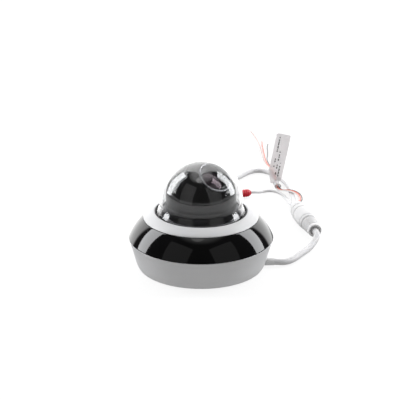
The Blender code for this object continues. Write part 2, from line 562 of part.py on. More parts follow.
# the flag label: a stiff folded strip that stands on the signal wires
TAG_FOOT = Vector((84.6, 226.6, 3.0))
TAG_UP = Vector((0.205, 0.15, 1.0)).normalized()
TAG_ACROSS = Vector((1.0, -0.02, -0.2)).normalized()
TAG_ACROSS = (TAG_ACROSS - TAG_UP * TAG_ACROSS.dot(TAG_UP)).normalized()
TAG_W, TAG_L, TAG_T = 16.6, 60.0, 0.6
tag_outline = [(-3.0, 0.0), (3.4, 1.0), (TAG_W / 2, 7.0), (TAG_W / 2, TAG_L), (-TAG_W / 2, TAG_L), (-TAG_W / 2, 14.0)]
tag = extruded(tag_outline, 0, TAG_T)
normal = TAG_ACROSS.cross(TAG_UP)
frame = Matrix((TAG_ACROSS, TAG_UP, normal)).transposed().to_4x4()
frame.translation = TAG_FOOT
bmesh.ops.transform(tag, matrix=frame, verts=tag.verts)
from_bmesh("label_tag", tag, ("label_white", (0.80, 0.79, 0.79), 0.5), smooth=False)
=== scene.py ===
"""Looks of the mini pan-tilt dome camera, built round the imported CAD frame. Metres, +Z up."""

import math

import bmesh
import bpy
import numpy as np
from mathutils import Matrix, Vector


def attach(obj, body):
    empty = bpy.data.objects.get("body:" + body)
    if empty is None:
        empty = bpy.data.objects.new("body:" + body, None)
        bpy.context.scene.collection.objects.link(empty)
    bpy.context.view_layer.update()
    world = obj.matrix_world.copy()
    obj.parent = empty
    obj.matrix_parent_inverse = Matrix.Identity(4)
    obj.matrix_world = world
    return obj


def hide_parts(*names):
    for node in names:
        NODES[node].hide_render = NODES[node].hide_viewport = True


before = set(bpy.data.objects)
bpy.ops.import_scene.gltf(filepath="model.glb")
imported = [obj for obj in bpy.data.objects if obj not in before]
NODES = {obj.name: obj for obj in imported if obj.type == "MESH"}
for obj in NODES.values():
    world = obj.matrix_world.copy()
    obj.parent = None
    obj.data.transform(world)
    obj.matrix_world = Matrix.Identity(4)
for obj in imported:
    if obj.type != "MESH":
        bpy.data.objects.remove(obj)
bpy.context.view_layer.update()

MM = 0.001
SCENE = bpy.context.scene
ROOM = SCENE.collection
COVERED = set()

# ================================================================ camera
camera = bpy.data.objects.new("camera", bpy.data.cameras.new("camera"))
ROOM.objects.link(camera)
camera.location = (-0.00102, -1.3, 0.5685)
camera.rotation_euler = (math.radians(69.0), 0.0, 0.0)
camera.data.lens = 125.118
camera.data.sensor_width = 36.0
camera.data.clip_end = 30.0
SCENE.camera = camera


# ================================================================ materials
def surface(
    name, color, rough, metallic=0.0, ior=1.5, specular=0.5, tint=None, coat=0.0, coat_rough=0.04,
    transmission=0.0, soft=0.0, sheen=0.0, vary=0.05, vary_scale=45.0, mottle=None, rough_vary=0.05, rough_scale=220.0,
    grain=0.15, grain_scale=2600.0, grain_depth=0.00004, stretch=None, wear=0.0, wear_color=None, dust=0.0,
):
    """A Principled material whose colour, roughness and relief come from noise in the piece's own coordinates."""
    mat = bpy.data.materials.new(name)
    mat.use_nodes = True
    tree = mat.node_tree
    node, wire = tree.nodes.new, tree.links.new
    bsdf = tree.nodes["Principled BSDF"]
    bsdf.inputs["Metallic"].default_value = metallic
    bsdf.inputs["IOR"].default_value = ior
    bsdf.inputs["Specular IOR Level"].default_value = specular
    if tint is not None:
        bsdf.inputs["Specular Tint"].default_value = (*tint, 1.0)
    bsdf.inputs["Coat Weight"].default_value = coat
    bsdf.inputs["Coat Roughness"].default_value = coat_rough
    bsdf.inputs["Transmission Weight"].default_value = transmission
    if soft:
        bsdf.inputs["Subsurface Weight"].default_value = soft
        bsdf.inputs["Subsurface Radius"].default_value = (0.002, 0.0018, 0.0016)
        bsdf.inputs["Subsurface Scale"].default_value = 1.0
    if sheen:
        bsdf.inputs["Sheen Weight"].default_value = sheen
    place = node("ShaderNodeTexCoord")
    spot = place.outputs["Object"]
    if stretch is not None:
        mapping = node("ShaderNodeMapping")
        mapping.inputs["Scale"].default_value = stretch
        wire(spot, mapping.inputs["Vector"])
        spot = mapping.outputs["Vector"]

    def noise(scale, detail=3.0, roughness=0.55):
        tex = node("ShaderNodeTexNoise")
        tex.inputs["Scale"].default_value = scale
        tex.inputs["Detail"].default_value = detail
        tex.inputs["Roughness"].default_value = roughness
        wire(spot, tex.inputs["Vector"])
        return tex.outputs["Fac"]

    def spread(value, low, high, at=(0.32, 0.68)):
        remap = node("ShaderNodeMapRange")
        remap.inputs["From Min"].default_value = at[0]
        remap.inputs["From Max"].default_value = at[1]
        remap.inputs["To Min"].default_value = low
        remap.inputs["To Max"].default_value = high
        wire(value, remap.inputs["Value"])
        return remap.outputs["Result"]

    def blend(fac, a, b):
        mixer = node("ShaderNodeMix")
        mixer.data_type = "RGBA"
        wire(fac, mixer.inputs[0])
        for socket, value in ((mixer.inputs[6], a), (mixer.inputs[7], b)):
            if isinstance(value, tuple):
                socket.default_value = (*value, 1.0)
            else:
                wire(value, socket)
        return mixer.outputs[2]

    dark = tuple(c * (1 - vary) for c in color)
    light = tuple(min(1.0, c * (1 + vary)) for c in color) if mottle is None else mottle
    tone = blend(spread(noise(vary_scale), 0.0, 1.0), dark, light)
    if dust:
        tone = blend(spread(noise(grain_scale * 0.5, 2.0), 0.0, dust, (0.58, 0.75)), tone, tuple(min(1.0, c * 0.7 + 0.25) for c in color))
    if wear:
        edge = node("ShaderNodeNewGeometry").outputs["Pointiness"]
        worn = node("ShaderNodeMath")
        worn.operation = "MULTIPLY"
        wire(spread(edge, 0.0, wear, (0.52, 0.62)), worn.inputs[0])
        wire(spread(noise(320.0), 0.2, 1.0), worn.inputs[1])
        tone = blend(worn.outputs[0], tone, wear_color or tuple(min(1.0, c * 1.35 + 0.04) for c in color))
    wire(tone, bsdf.inputs["Base Color"])
    wire(spread(noise(rough_scale, 4.0), max(0.0, rough - rough_vary), min(1.0, rough + rough_vary)), bsdf.inputs["Roughness"])
    if grain:
        bump = node("ShaderNodeBump")
        bump.inputs["Strength"].default_value = grain
        bump.inputs["Distance"].default_value = grain_depth
        wire(noise(grain_scale, 2.0), bump.inputs["Height"])
        wire(bump.outputs["Normal"], bsdf.inputs["Normal"])
    return mat


WHITE = surface("white_plastic", (0.70, 0.70, 0.705), 0.40, vary=0.018, rough_vary=0.06, grain=0.22, grain_scale=3000, grain_depth=0.00005, soft=0.05, wear=0.35, wear_color=(0.80, 0.80, 0.80), dust=0.03)
# painted shade: the well lining is white plastic, coloured mid grey here to stand in for the shade inside the well
LINER_PAINTED_SHADE = surface("liner_grey", (0.46, 0.455, 0.48), 0.42, vary=0.03, grain=0.18, grain_scale=2600)
BAND = surface("gloss_black_window", (0.0032, 0.0030, 0.0034), 0.055, ior=1.47, vary=0.25, rough_vary=0.018, rough_scale=90, grain=0.03, grain_scale=500, grain_depth=0.00002, wear=0.15, wear_color=(0.03, 0.03, 0.03), dust=0.004)
BALL = surface("gloss_black_shell", (0.0042, 0.0042, 0.0046), 0.085, ior=1.47, vary=0.25, rough_vary=0.03, rough_scale=140, grain=0.05, grain_scale=900, grain_depth=0.00002, wear=0.2, wear_color=(0.05, 0.05, 0.05), dust=0.006)
CUP = surface("dark_satin", (0.0075, 0.0075, 0.0082), 0.20, vary=0.15, rough_vary=0.04, grain=0.12, grain_scale=2400, grain_depth=0.00003, wear=0.2, wear_color=(0.05, 0.05, 0.05), dust=0.008)
DARK = surface("dark_matte", (0.016, 0.016, 0.018), 0.48, vary=0.15, grain=0.35, grain_scale=2600, wear=0.4, wear_color=(0.10, 0.10, 0.10))
BEZEL = surface("bezel_satin", (0.16, 0.16, 0.17), 0.26, metallic=0.7, vary=0.08, rough_vary=0.05, grain=0.08, grain_scale=1600, stretch=(1, 1, 6), wear=0.6, wear_color=(0.42, 0.42, 0.43))
RUBBER = surface("black_rubber", (0.012, 0.012, 0.013), 0.66, vary=0.2, rough_vary=0.1, grain=0.4, grain_scale=1800, grain_depth=0.00008, sheen=0.05)
LENS = surface("coated_glass", (0.060, 0.045, 0.054), 0.02, ior=1.55, transmission=0.55, tint=(0.42, 0.30, 0.36), vary=0.06, rough_vary=0.012, rough_scale=60, grain=0.01, grain_scale=300, grain_depth=0.00001)
INNER_LENS = surface("inner_glass", (0.10, 0.10, 0.14), 0.03, ior=1.6, transmission=0.4, tint=(0.5, 0.45, 0.7), vary=0.08, rough_vary=0.015, grain=0.01, grain_scale=300, grain_depth=0.00001)
STEEL = surface("zinc_steel", (0.60, 0.60, 0.61), 0.30, metallic=1.0, vary=0.07, vary_scale=120, rough_vary=0.09, grain=0.18, grain_scale=1400, stretch=(1, 1, 7), wear=0.5)
ALU = surface("cast_aluminium", (0.62, 0.63, 0.64), 0.46, metallic=1.0, vary=0.08, vary_scale=70, rough_vary=0.10, grain=0.6, grain_scale=1500, grain_depth=0.00012, wear=0.5)
BOARD = surface("circuit_board", (0.012, 0.10, 0.045), 0.33, vary=0.25, vary_scale=260, mottle=(0.022, 0.16, 0.07), rough_vary=0.06, grain=0.5, grain_scale=900, grain_depth=0.0001, coat=0.3, wear=0.3, wear_color=(0.5, 0.45, 0.3))
JACKET = surface("white_jacket", (0.69, 0.685, 0.69), 0.46, vary=0.025, vary_scale=30, rough_vary=0.08, rough_scale=160, grain=0.3, grain_scale=1500, grain_depth=0.00008, soft=0.08, dust=0.05)
MOULD = surface("white_moulding", (0.71, 0.705, 0.705), 0.44, vary=0.02, rough_vary=0.07, grain=0.3, grain_scale=1900, grain_depth=0.00007, soft=0.08, wear=0.25, wear_color=(0.82, 0.82, 0.82), dust=0.04)
RED = surface("red_cap", (0.58, 0.012, 0.026), 0.34, vary=0.10, rough_vary=0.07, grain=0.25, grain_scale=1600, soft=0.05, wear=0.3, wear_color=(0.68, 0.05, 0.07))
GOLD = surface("gold_contact", (0.85, 0.62, 0.25), 0.24, metallic=1.0, vary=0.06, grain=0.08, grain_scale=1500)
TIN = surface("tinned_copper", (0.66, 0.60, 0.54), 0.32, metallic=1.0, vary=0.1, vary_scale=400, grain=0.3, grain_scale=2600, stretch=(1, 1, 5))
WIRE_RED = surface("wire_red", (0.72, 0.11, 0.05), 0.38, vary=0.08, grain=0.15, soft=0.05)
WIRE_BLACK = surface("wire_black", (0.014, 0.014, 0.015), 0.36, vary=0.2, grain=0.15)
WIRE_PINK = surface("wire_pink", (0.66, 0.44, 0.40), 0.38, vary=0.06, grain=0.15, soft=0.05)
WIRE_WHITE = surface("wire_white", (0.70, 0.69, 0.68), 0.38, vary=0.03, grain=0.15, soft=0.05)
LABEL = surface("label_paper", (0.90, 0.88, 0.885), 0.55, transmission=0.62, ior=1.12, vary=0.03, vary_scale=120, rough_vary=0.1, grain=0.3, grain_scale=900, grain_depth=0.00006, coat=0.15)
INK = surface("printed_mark", (0.05, 0.05, 0.055), 0.6, vary=0.4, vary_scale=900, grain=0.2, grain_scale=2000)
BLUE_MARK = surface("blue_mark", (0.50, 0.57, 0.72), 0.45, vary=0.1, vary_scale=600, grain=0.2)
FILM = surface("clear_wrap", (0.86, 0.86, 0.87), 0.22, ior=1.4, transmission=0.55, vary=0.05, rough_vary=0.08, grain=0.5, grain_scale=500, grain_depth=0.00015)

CLEAR = surface("clear_dome", (0.985, 0.988, 0.99), 0.006, ior=1.47, transmission=1.0, vary=0.006, rough_vary=0.006, rough_scale=30, grain=0.01, grain_scale=120, grain_depth=0.00002)
tree = CLEAR.node_tree
path = tree.nodes.new("ShaderNodeLightPath")
either = tree.nodes.new("ShaderNodeMath")
either.operation = "MAXIMUM"
tree.links.new(path.outputs["Is Shadow Ray"], either.inputs[0])
tree.links.new(path.outputs["Is Diffuse Ray"], either.inputs[1])
through = tree.nodes.new("ShaderNodeBsdfTransparent")
through.inputs["Color"].default_value = (0.93, 0.935, 0.94, 1.0)
choose = tree.nodes.new("ShaderNodeMixShader")
tree.links.new(either.outputs[0], choose.inputs[0])
tree.links.new(tree.nodes["Principled BSDF"].outputs[0], choose.inputs[1])
tree.links.new(through.outputs[0], choose.inputs[2])
tree.links.new(choose.outputs[0], tree.nodes["Material Output"].inputs["Surface"])


# ================================================================ builders, in mm
def polar(r, deg):
    return r * math.cos(math.radians(deg)), r * math.sin(math.radians(deg))


def arc(cx, cz, r, a0, a1, n):
    return [
        (cx + r * math.cos(math.radians(a0 + (a1 - a0) * i / n)), cz + r * math.sin(math.radians(a0 + (a1 - a0) * i / n)))
        for i in range(n + 1)
    ]


def bowed(p, q, bulge, n):
    (x0, z0), (x1, z1) = p, q
    length = math.hypot(x1 - x0, z1 - z0)
    nx, nz = (z1 - z0) / length, -(x1 - x0) / length
    return [
        (x0 + (x1 - x0) * i / n + nx * bulge * 4 * i / n * (1 - i / n), z0 + (z1 - z0) * i / n + nz * bulge * 4 * i / n * (1 - i / n))
        for i in range(n + 1)
    ]


def eased(profile, radius=0.3, n=3, least=12.0):
    """The closed (r, z) outline with each corner turned into a small fillet. A corner on the axis stays."""
    out = []
    count = len(profile)
    for i in range(count):
        p = np.array(profile[i], float)
        before = np.array(profile[i - 1], float) - p
        after = np.array(profile[(i + 1) % count], float) - p
        lb, la = np.linalg.norm(before), np.linalg.norm(after)
        turn = 180 - math.degrees(math.acos(max(-1.0, min(1.0, float(before @ after) / (lb * la)))))
        if p[0] < 1e-9 or turn < least:
            out.append(tuple(p))
            continue
        t = min(radius, 0.45 * lb, 0.45 * la)
        a, b = p + before / lb * t, p + after / la * t
        for k in range(n + 1):
            u = k / n
            out.append(tuple((1 - u) ** 2 * a + 2 * u * (1 - u) * p + u * u * b))
    return out


def spun(profile, steps=128, wave=None):
    """The closed outline turned about Z. wave(angle, r, z) may shift r."""
    bm = bmesh.new()
    rings = []
    for r, z in profile:
        if r < 1e-9:
            rings.append([bm.verts.new((0, 0, z))])
            continue
        ring = []
        for k in range(steps):
            a = math.tau * k / steps
            q = r + (wave(a, r, z) if wave else 0.0)
            ring.append(bm.verts.new((q * math.cos(a), q * math.sin(a), z)))
        rings.append(ring)
    for i in range(len(rings)):
        a, b = rings[i], rings[(i + 1) % len(rings)]
        if len(a) == 1 and len(b) == 1:
            continue
        for k in range(steps):
            m = (k + 1) % steps
            if len(a) == 1:
                bm.faces.new((a[0], b[m], b[k]))
            elif len(b) == 1:
                bm.faces.new((a[k], a[m], b[0]))
            else:
                bm.faces.new((a[k], a[m], b[m], b[k]))
    bmesh.ops.recalc_face_normals(bm, faces=bm.faces)
    return bm


def solid(name, bm, mat, matrix=None, sharp=38.0):
    """A mesh object from a bmesh in mm, with its own frame turned into the mesh."""
    bmesh.ops.recalc_face_normals(bm, faces=bm.faces)
    if matrix is not None:
        bmesh.ops.transform(bm, matrix=matrix, verts=bm.verts)
    bmesh.ops.scale(bm, vec=(MM, MM, MM), verts=bm.verts)
    mesh = bpy.data.meshes.new(name)
    bm.to_mesh(mesh)
    bm.free()
    mesh.shade_smooth()
    mesh.set_sharp_from_angle(angle=math.radians(sharp))
    obj = bpy.data.objects.new(name, mesh)
    ROOM.objects.link(obj)
    if mat is not None:
        mesh.materials.append(mat)
    return obj


def box_bm(low, high, bevel=0.0, segments=2):
    bm = bmesh.new()
    bmesh.ops.create_cube(bm, size=1.0)
    low, high = Vector(low), Vector(high)
    bmesh.ops.scale(bm, vec=high - low, verts=bm.verts)
    bmesh.ops.translate(bm, vec=(low + high) / 2, verts=bm.verts)
    if bevel:
        bmesh.ops.bevel(bm, geom=list(bm.edges), offset=bevel, segments=segments, affect="EDGES", profile=0.5)
    return bm


def rod_bm(r, low, high, steps=32, x=0.0, y=0.0):
    bm = spun([(0, high), (r, high), (r, low), (0, low)], steps)
    bmesh.ops.rotate(bm, cent=(0, 0, 0), matrix=Matrix.Rotation(0.137, 3, "Z"), verts=bm.verts)
    bmesh.ops.translate(bm, vec=(x, y, 0), verts=bm.verts)
    return bm


def extruded(outline, low, high):
    bm = bmesh.new()
    rows = [[bm.verts.new((x, y, z)) for x, y in outline] for z in (low, high)]
    n = len(outline)
    for i in range(n):
        j = (i + 1) % n
        bm.faces.new((rows[0][i], rows[0][j], rows[1][j], rows[1][i]))
    bm.faces.new(rows[0][::-1])
    bm.faces.new(rows[1])
    return bm


def carve(obj, tools, operation="DIFFERENCE", sharp=38.0):
    """Applies the tool solids to obj and takes them away again."""
    made = [solid(f"{obj.name}_tool{i}", bm, None) for i, bm in enumerate(tools)]
    for tool in made:
        mod = obj.modifiers.new(tool.name, "BOOLEAN")
        mod.operation = operation
        mod.solver = "EXACT"
        mod.object = tool
    graph = bpy.context.evaluated_depsgraph_get()
    mesh = bpy.data.meshes.new_from_object(obj.evaluated_get(graph))
    obj.modifiers.clear()
    old = obj.data
    obj.data = mesh
    bpy.data.meshes.remove(old)
    mesh.shade_smooth()
    mesh.set_sharp_from_angle(angle=math.radians(sharp))
    for tool in made:
        bpy.data.objects.remove(tool, do_unlink=True)
    return obj


def joined(name, parts, mat):
    """One mesh of several closed shells."""
    bm = bmesh.new()
    for part in parts:
        mesh = bpy.data.meshes.new("tmp")
        part.to_mesh(mesh)
        part.free()
        bm.from_mesh(mesh)
        bpy.data.meshes.remove(mesh)
    return solid(name, bm, mat)


def keep(obj, body, slot, *nodes):
    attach(obj, body)
    if nodes:
        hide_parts(*nodes)
        COVERED.update(nodes)
    return obj


def towards(start, end):
    start, end = Vector(start), Vector(end)
    turn = Vector((0, 0, 1)).rotation_difference((end - start).normalized()).to_matrix().to_4x4()
    return Matrix.Translation(start) @ turn


def smooth_route(points, spacing):
    pts = np.array(points, float)
    ext = np.vstack([2 * pts[0] - pts[1], pts, 2 * pts[-1] - pts[-2]])
    fine = []
    for i in range(1, len(ext) - 2):
        p0, p1, p2, p3 = ext[i - 1 : i + 3]
        t1 = np.linalg.norm(p1 - p0) ** 0.5
        t2 = t1 + np.linalg.norm(p2 - p1) ** 0.5
        t3 = t2 + np.linalg.norm(p3 - p2) ** 0.5
        for t in np.linspace(t1, t2, 13)[:-1]:
            a1 = (t1 - t) / t1 * p0 + t / t1 * p1
            a2 = (t2 - t) / (t2 - t1) * p1 + (t - t1) / (t2 - t1) * p2
            a3 = (t3 - t) / (t3 - t2) * p2 + (t - t2) / (t3 - t2) * p3
            b1 = (t2 - t) / t2 * a1 + t / t2 * a2
            b2 = (t3 - t) / (t3 - t1) * a2 + (t - t1) / (t3 - t1) * a3
            fine.append((t2 - t) / (t2 - t1) * b1 + (t - t1) / (t2 - t1) * b2)
    fine.append(pts[-1])
    fine = np.array(fine)
    run = np.concatenate([[0], np.cumsum(np.linalg.norm(np.diff(fine, axis=0), axis=1))])
    count = max(4, round(run[-1] / spacing))
    at = np.linspace(0, run[-1], count + 1)
    return np.stack([np.interp(at, run, fine[:, k]) for k in range(3)], axis=1)


def lead(name, route, diameter, mat, spacing=2.4, sides=5):
    points = smooth_route(route, spacing)
    curve = bpy.data.curves.new(name, "CURVE")
    curve.dimensions = "3D"
    curve.bevel_depth = diameter / 2 * MM
    curve.bevel_resolution = sides
    curve.use_fill_caps = True
    spline = curve.splines.new("POLY")
    spline.points.add(len(points) - 1)
    for point, co in zip(spline.points, points):
        point.co = (*(co * MM), 1.0)
    spline.use_smooth = True
    curve.materials.append(mat)
    obj = bpy.data.objects.new(name, curve)
    ROOM.objects.link(obj)
    return obj, points


# ================================================================ cords
GLAND_AZ, GLAND_Z = -4.0, 4.4
gx, gy = polar(1.0, GLAND_AZ)
MAIN = [(gx * 75.0, gy * 75.0, GLAND_Z), (79.0, -5.5, 4.3), (84.4, -4.4, 3.9), (90.2, -0.6, 3.6), (96.6, 7.0, 3.5), (102.5, 16.5, 3.5),
        (108.0, 25.0, 3.5), (113.0, 33.5, 3.8), (117.4, 41.0, 5.4), (120.8, 48.5, 8.0), (122.0, 56.2, 10.2), (121.02, 61.1, 10.7)]
J0, J1 = Vector((120.9, 61.6, 10.7)), Vector((105.2, 134.5, 10.7))
JL = (J1 - J0).length
U = (J1 - J0).normalized()
SIDE = Vector((U.y, -U.x, 0))


def off(side, up, out=0.4):
    return tuple(J1 + U * out + SIDE * side + Vector((0, 0, up)))


NET = [off(-0.2, -1.2), off(-0.2, -1.4, 5.5), (104.4, 150.0, 7.8), (104.8, 169.0, 5.2), (104.6, 189.0, 3.3), (103.2, 208.0, 2.95), (100.6, 224.0, 2.9),
       (96.4, 239.0, 2.9), (90.8, 251.6, 2.9), (84.8, 261.4, 2.9), (78.2, 268.4, 2.9), (70.8, 271.6, 3.0), (63.2, 270.2, 3.0),
       (56.2, 264.2, 3.0), (49.4, 255.0, 3.0), (42.2, 244.6, 3.2), (33.5, 234.8, 5.0), (25.5, 229.4, 8.4), (21.0, 228.55, 9.35), (16.9, 228.5, 9.4)]
DC = [off(-4.4, 1.0), off(-4.4, 0.7, 5.0), (99.3, 152.0, 7.6), (99.3, 167.0, 3.8), (97.8, 181.0, 1.7), (94.2, 193.0, 1.6), (88.2, 202.4, 1.6),
      (80.4, 206.6, 1.6), (72.6, 204.4, 1.7), (66.8, 198.2, 3.0), (61.6, 194.5, 4.5), (57.6, 192.86, 4.8)]
TRUNK = np.array([(110.6, 153.0, 10.6), (111.4, 167.0, 9.4), (109.6, 180.0, 8.3), (104.6, 189.6, 7.6), (98.8, 196.4, 6.2), (94.0, 203.6, 3.4), (90.6, 212.0, 1.5),
                  (88.4, 223.0, 1.2), (87.6, 236.0, 2.4), (87.0, 247.0, 6.0), (85.6, 258.0, 7.6), (84.0, 270.0, 7.0), (82.0, 286.0, 3.8), (80.6, 300.0, 1.6)])
WIRES = {
    "signal_wire_red": (3.6, 1.5, 0.8, [(79.6, 318.0, 0.95), (79.0, 336.0, 0.9), (78.4, 354.0, 0.9), (77.8, 371.0, 0.9), (78.2, 387.0, 0.9)], WIRE_RED, "wire_red"),
    "signal_wire_black": (4.3, -0.2, 2.4, [(81.6, 318.0, 0.95), (83.0, 334.0, 0.9), (83.8, 350.0, 0.9), (84.0, 364.0, 0.9), (85.4, 377.0, 0.9)], WIRE_BLACK, "wire_black"),
    "signal_wire_pink": (2.9, 3.0, -0.8, [(77.8, 318.0, 0.95), (76.8, 338.0, 0.9), (75.6, 360.0, 0.9), (73.4, 384.0, 0.9), (70.0, 408.0, 0.9), (65.4, 429.0, 0.9)], WIRE_PINK, "wire_pink"),
    "signal_wire_white": (1.6, 4.3, -2.4, [(75.8, 318.0, 0.95), (74.2, 334.0, 0.9), (73.0, 350.0, 0.9), (72.2, 364.0, 0.9), (72.4, 376.0, 0.9)], WIRE_WHITE, "jack_white"),
}


# the junction moulding: end ring and recess, fine neck ribs, ring lines and a rounded lead end
def junction_r(z):
    at = [0, 6.0, JL - 54, JL - 44, JL - 34, JL - 20, JL - 10, JL - 3, JL]
    rs = [7.1, 7.6, 8.8, 9.9, 10.4, 10.3, 9.4, 7.2, 6.2]
    r = float(np.interp(z, at, rs))
    if 7.0 < z < 19.6:
        r -= 0.75 * (0.5 - 0.5 * math.cos(math.tau * (z - 7.0) / 2.1)) ** 2
    for centre, width, depth in ((5.7, 0.9, 0.9), (21.8, 1.7, 1.7), (27.4, 0.8, 0.6), (JL * 0.66, 0.9, 0.75), (JL * 0.78, 1.1, 1.0), (JL * 0.885, 1.0, 0.9)):
        r -= depth * math.exp(-(((z - centre) / width) ** 2) * 2.2)
    return r


body = [(junction_r(z), z) for z in np.arange(0.9, JL - 1.0, 0.35)]
profile = [(0, 2.6), (4.3, 2.6), (4.9, 2.1), (5.5, 0.6), (5.8, 0.1), (6.5, 0.0), (7.0, 0.35)] + body + [(6.0, JL - 0.4), (5.2, JL), (0, JL)]
junction = solid("junction_moulding", spun(profile, 96), MOULD, towards(J0, J1), 50)
keep(junction, "root", "cable_white", "cable_junction")

cable, points = lead("camera_cable", [(gx * 73.2, gy * 73.2, GLAND_Z)] + MAIN + [tuple(J0 + U * 2.3)], 6.6, JACKET, 1.8, 8)
keep(cable, "root", "cable_white", "main_cable")

# network lead and its in-line socket
net, points = lead("network_cable", NET, 5.6, JACKET, 2.2, 7)
keep(net, "root", "cable_white", "network_lead")
shell = solid("network_socket", box_bm((-36.0, 218.1, 0.35), (14.0, 238.9, 18.4), 1.3, 4), MOULD)
carve(shell, [
    box_bm((-40.0, 222.6, 5.2), (-22.0, 234.4, 13.4)),
    box_bm((-40.0, 225.6, 3.4), (-24.0, 231.4, 6.0)),
    box_bm((-16.0, 222.0, 17.9), (4.0, 235.0, 19.0)),
    box_bm((7.6, 215.0, 17.95), (8.6, 242.0, 19.4)),
])
keep(shell, "root", "jack_white", "network_jack")
boot = spun([(0, 3.4), (2.95, 3.4), (3.5, 2.6), (3.9, 1.9), (3.7, 1.5), (4.6, 1.0), (5.2, 0.2), (6.4, 0.1), (6.6, -0.6), (0, -0.6)], 48)
boot = solid("network_boot", boot, MOULD, towards((13.9, 228.5, 9.4), (20, 228.5, 9.4)))
keep(boot, "root", "jack_white")
pins = joined("network_contacts", [box_bm((-35.0, 224.35 + 1.15 * i, 12.1), (-24.0, 224.85 + 1.15 * i, 12.5)) for i in range(8)], GOLD)
keep(pins, "root", "jack_white")

# power lead, red dust cap and barrel socket
dc, points = lead("power_cable", DC, 3.0, JACKET, 1.8, 6)
keep(dc, "root", "cable_white", "power_lead")
C0, C1 = Vector((57.2, 192.7, 4.8)), Vector((41.8, 187.1, 4.8))
CL = (C1 - C0).length
CU = (C1 - C0).normalized()
cap_outline = [(0, CL), (3.7, CL), (4.3, CL - 0.5)]
for z in np.arange(CL - 0.8, 4.0, -0.25):
    cap_outline.append((4.4 - 0.42 * (0.5 + 0.5 * math.cos(math.tau * (z - 4.4) / 2.6)) ** 2, float(z)))
cap_outline += [(4.3, 3.9), (3.9, 2.6), (3.2, 1.4), (2.5, 0.4), (1.6, 0.15), (0, 0.15)]
cap = solid("dust_cap", spun(cap_outline, 64, lambda a, r, z: 0.05 * math.cos(18 * a) if r > 3.5 else 0.0), RED, towards(C0, C1))
keep(cap, "root", "cap_red", "power_cap")
barrel = spun(eased([(0, 4.0), (2.9, 4.0), (2.9, 11.0), (4.1, 11.0), (4.1, 8.6), (3.8, 8.3), (3.8, 7.7), (4.1, 7.4), (4.1, 0), (0, 0)], 0.25), 48)
barrel = solid("barrel_socket", barrel, RUBBER, towards(C1 + CU * 0.4, C1 + CU * 20))
keep(barrel, "root", "jack_black", "power_jack")
pin = spun(eased([(0, 10.8), (0.9, 10.8), (1.1, 10.2), (1.1, 3.8), (0, 3.8)], 0.2), 24)
sleeve = spun([(2.5, 10.6), (2.85, 10.6), (2.85, 4.2), (2.5, 4.2)], 40)
pin = joined("barrel_contacts", [pin, sleeve], STEEL)
pin.data.transform(Matrix.Scale(1 / MM, 4))
pin.data.transform(towards(C1 + CU * 0.4, C1 + CU * 20))
pin.data.transform(Matrix.Scale(MM, 4))
keep(pin, "root", "steel")
mark = smooth_route(DC, 0.5)
run = np.concatenate([[0], np.cumsum(np.linalg.norm(np.diff(mark, axis=0), axis=1))])

# four thin signal wires with stripped ends
for name, (side, up, shift, tail, mat, slot) in WIRES.items():
    head = np.gradient(TRUNK[:, :2], axis=0)
    head /= np.linalg.norm(head, axis=1)[:, None]
    lane = TRUNK.copy()
    lane[:, 0] += head[:, 1] * shift
    lane[:, 1] -= head[:, 0] * shift
    route = [off(side, up), off(side, up, 4.0)] + [tuple(p) for p in lane] + tail
    wire, points = lead(name + "_lead", route, 1.2, mat, 2.6, 4)
    keep(wire, "root", slot, name)
    last, prior = Vector(points[-1]), Vector(points[-2])
    ahead = (last - prior).normalized()
    strands = []
    for k in range(5):
        a = math.tau * k / 5
        strand = spun(eased([(0, 3.4), (0.12, 3.3), (0.16, 3.0), (0.16, -0.6), (0, -0.6)], 0.05), 10)
        bmesh.ops.translate(strand, vec=(0.19 * math.cos(a), 0.19 * math.sin(a), 0), verts=strand.verts)
        strands.append(strand)
    tip = joined(name + "_strands", strands, TIN)
    tip.data.transform(Matrix.Scale(1 / MM, 4))
    tip.data.transform(towards(last, last + ahead))
    tip.data.transform(Matrix.Scale(MM, 4))
    keep(tip, "root", slot)

# ================================================================ flag label
TAG_FOOT = Vector((84.6, 226.6, 3.0))
TAG_UP = Vector((0.205, 0.15, 1.0)).normalized()
TAG_ACROSS = Vector((1.0, -0.02, -0.2)).normalized()
TAG_ACROSS = (TAG_ACROSS - TAG_UP * TAG_ACROSS.dot(TAG_UP)).normalized()
TAG_OUT = TAG_ACROSS.cross(TAG_UP)
TAG = Matrix((TAG_ACROSS, TAG_UP, TAG_OUT)).transposed().to_4x4()
TAG.translation = TAG_FOOT
W, L = 8.3, 60.0


def bend(a, u):
    """How far the strip stands out of its plane at (across, up): it curls a little lengthwise and crosswise."""
    return 0.9 * math.sin(math.pi * u / L) * 0.6 + 0.35 * (a / W) ** 2 * math.sin(math.pi * min(1.0, u / 30.0) / 2)


def tag_edges(u):
    """Left and right edge of the strip at height u, with rounded top corners and a slanted foot."""
    left = float(np.interp(u, [0, 14], [-3.0, -W]))
    right = float(np.interp(u, [0.0, 1.0, 7.0], [3.0, 3.4, W]))
    round_r = 1.8
    if u > L - round_r:
        d = round_r - math.sqrt(max(0.0, round_r**2 - (u - (L - round_r)) ** 2))
        left, right = left + d, right - d
    return left, right


